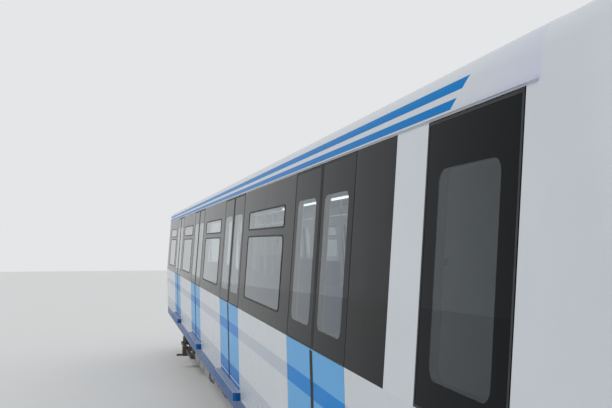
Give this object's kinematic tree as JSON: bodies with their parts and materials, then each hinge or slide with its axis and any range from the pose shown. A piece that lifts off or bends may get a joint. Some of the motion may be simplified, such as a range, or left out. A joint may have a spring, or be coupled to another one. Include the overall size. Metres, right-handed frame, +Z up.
{
  "type": "metro driving car",
  "caption": "Metro driving car with a raked cab, flush plug doors, striped sides and two motor bogies.",
  "frame": {"origin": "on the plane the wheel flanges stand on, under the middle of the overall length", "axes": "+X forward to the cab end, +Y to the car's left side, +Z up"},
  "size_m": [18.27, 2.808, 3.648],
  "materials": {
    "body_white": "gloss paint",
    "band_black": "gloss black paint",
    "door_blue": "gloss paint with stripes",
    "roof_grey": "satin paint",
    "tinted_glass": "tinted, polished",
    "clear_glass": "polished",
    "lamp_glass": "clear moulded lens",
    "lamp_metal": "bright reflector",
    "step_alloy": "ribbed",
    "rubber_black": "matte",
    "interior_white": "satin panel",
    "light_panel": "diffusing cover",
    "floor_grey": "speckled sheet",
    "seat_blue": "moulded shell",
    "rail_steel": "brushed",
    "desk_grey": "grained",
    "seat_cloth": "woven",
    "underframe_grey": "dusty paint",
    "case_grey": "satin paint",
    "bogie_grey": "dusty paint",
    "wheel_steel": "rolled treads",
    "casting_grey": "cast",
    "coupler_steel": "cast, greased"
  },
  "bodies": {
    "body": {"air_supply": "case_grey", "auxiliary_converter_case": "case_grey", "battery_case": "case_grey", "bench_seats": "seat_blue", "bogie_pivots": "casting_grey", "brake_resistor_case": "case_grey", "bulkhead": "interior_white", "cab_desk": "desk_grey", "cab_mask": "band_black", "cab_shell": "body_white", "ceiling": "interior_white", "ceiling_lights": "light_panel", "coupler_pockets": "underframe_grey", "cross_bearers": "underframe_grey", "door_glass": "tinted_glass", "door_leaves": "door_blue", "door_seals": "rubber_black", "door_steps": "step_alloy", "driver_seat": "seat_cloth", "end_wall": "body_white", "floor": "floor_grey", "gangway_bellows": "rubber_black", "gangway_bridge_plate": "step_alloy", "gangway_frame": "casting_grey", "grab_poles": "rail_steel", "handrails": "rail_steel", "lamp_housings": "lamp_metal", "lamp_lenses": "lamp_glass", "roof": "roof_grey", "roof_air_units": "roof_grey", "side_walls": "body_white", "traction_inverter_case": "case_grey", "underframe": "underframe_grey", "window_bands": "band_black", "window_glass": "tinted_glass", "windscreen": "clear_glass", "wiper": "rubber_black"},
    "front_bogie": {"front_bogie_frame": "bogie_grey", "front_axle_boxes": "casting_grey", "front_air_springs": "rubber_black", "front_drives": "casting_grey", "front_brake_units": "casting_grey", "front_collector_gear": "casting_grey"},
    "front_wheelset_leading": {"front_wheelset_leading": "wheel_steel"},
    "front_wheelset_trailing": {"front_wheelset_trailing": "wheel_steel"},
    "rear_bogie": {"rear_bogie_frame": "bogie_grey", "rear_axle_boxes": "casting_grey", "rear_air_springs": "rubber_black", "rear_drives": "casting_grey", "rear_brake_units": "casting_grey", "rear_collector_gear": "casting_grey"},
    "rear_wheelset_leading": {"rear_wheelset_leading": "wheel_steel"},
    "rear_wheelset_trailing": {"rear_wheelset_trailing": "wheel_steel"},
    "cab_door_left": {"cab_door_left": "body_white", "cab_door_glass_left": "tinted_glass"},
    "cab_door_right": {"cab_door_right": "body_white", "cab_door_glass_right": "tinted_glass"},
    "bulkhead_door": {"bulkhead_door": "interior_white"},
    "front_coupler": {"front_coupler": "coupler_steel"},
    "rear_drawbar": {"rear_drawbar": "coupler_steel"}
  },
  "joints": [
    {"name": "front_bogie_swivel", "type": "hinge", "parent": "body", "child": "front_bogie", "pos_m": [5.975, 0, 0.7], "axis": [0, 0, 1], "range_deg": [-4, 4]},
    {"name": "front_wheelset_leading_roll", "type": "hinge", "parent": "front_bogie", "child": "front_wheelset_leading", "pos_m": [7.025, 0, 0.458], "axis": [0, 1, 0], "continuous": true},
    {"name": "front_wheelset_trailing_roll", "type": "hinge", "parent": "front_bogie", "child": "front_wheelset_trailing", "pos_m": [4.925, 0, 0.458], "axis": [0, 1, 0], "continuous": true},
    {"name": "rear_bogie_swivel", "type": "hinge", "parent": "body", "child": "rear_bogie", "pos_m": [-5.925, 0, 0.7], "axis": [0, 0, 1], "range_deg": [-4, 4]},
    {"name": "rear_wheelset_leading_roll", "type": "hinge", "parent": "rear_bogie", "child": "rear_wheelset_leading", "pos_m": [-4.875, 0, 0.458], "axis": [0, 1, 0], "continuous": true},
    {"name": "rear_wheelset_trailing_roll", "type": "hinge", "parent": "rear_bogie", "child": "rear_wheelset_trailing", "pos_m": [-6.975, 0, 0.458], "axis": [0, 1, 0], "continuous": true},
    {"name": "cab_door_left_swing", "type": "hinge", "parent": "body", "child": "cab_door_left", "pos_m": [7.045, 1.23, 1.953], "axis": [0, 0, -1], "range_deg": [0, 85]},
    {"name": "cab_door_right_swing", "type": "hinge", "parent": "body", "child": "cab_door_right", "pos_m": [7.045, -1.23, 1.953], "axis": [0, 0, 1], "range_deg": [0, 85]},
    {"name": "bulkhead_door_swing", "type": "hinge", "parent": "body", "child": "bulkhead_door", "pos_m": [6.934, 0.323, 2.088], "axis": [0, 0, -1], "range_deg": [0, 90]},
    {"name": "front_coupler_swing", "type": "hinge", "parent": "body", "child": "front_coupler", "pos_m": [7.985, 0, 0.678], "axis": [0, 0, 1], "range_deg": [-15, 15]},
    {"name": "rear_drawbar_swing", "type": "hinge", "parent": "body", "child": "rear_drawbar", "pos_m": [-8.335, 0, 0.678], "axis": [0, 0, 1], "range_deg": [-10, 10]}
  ]
}
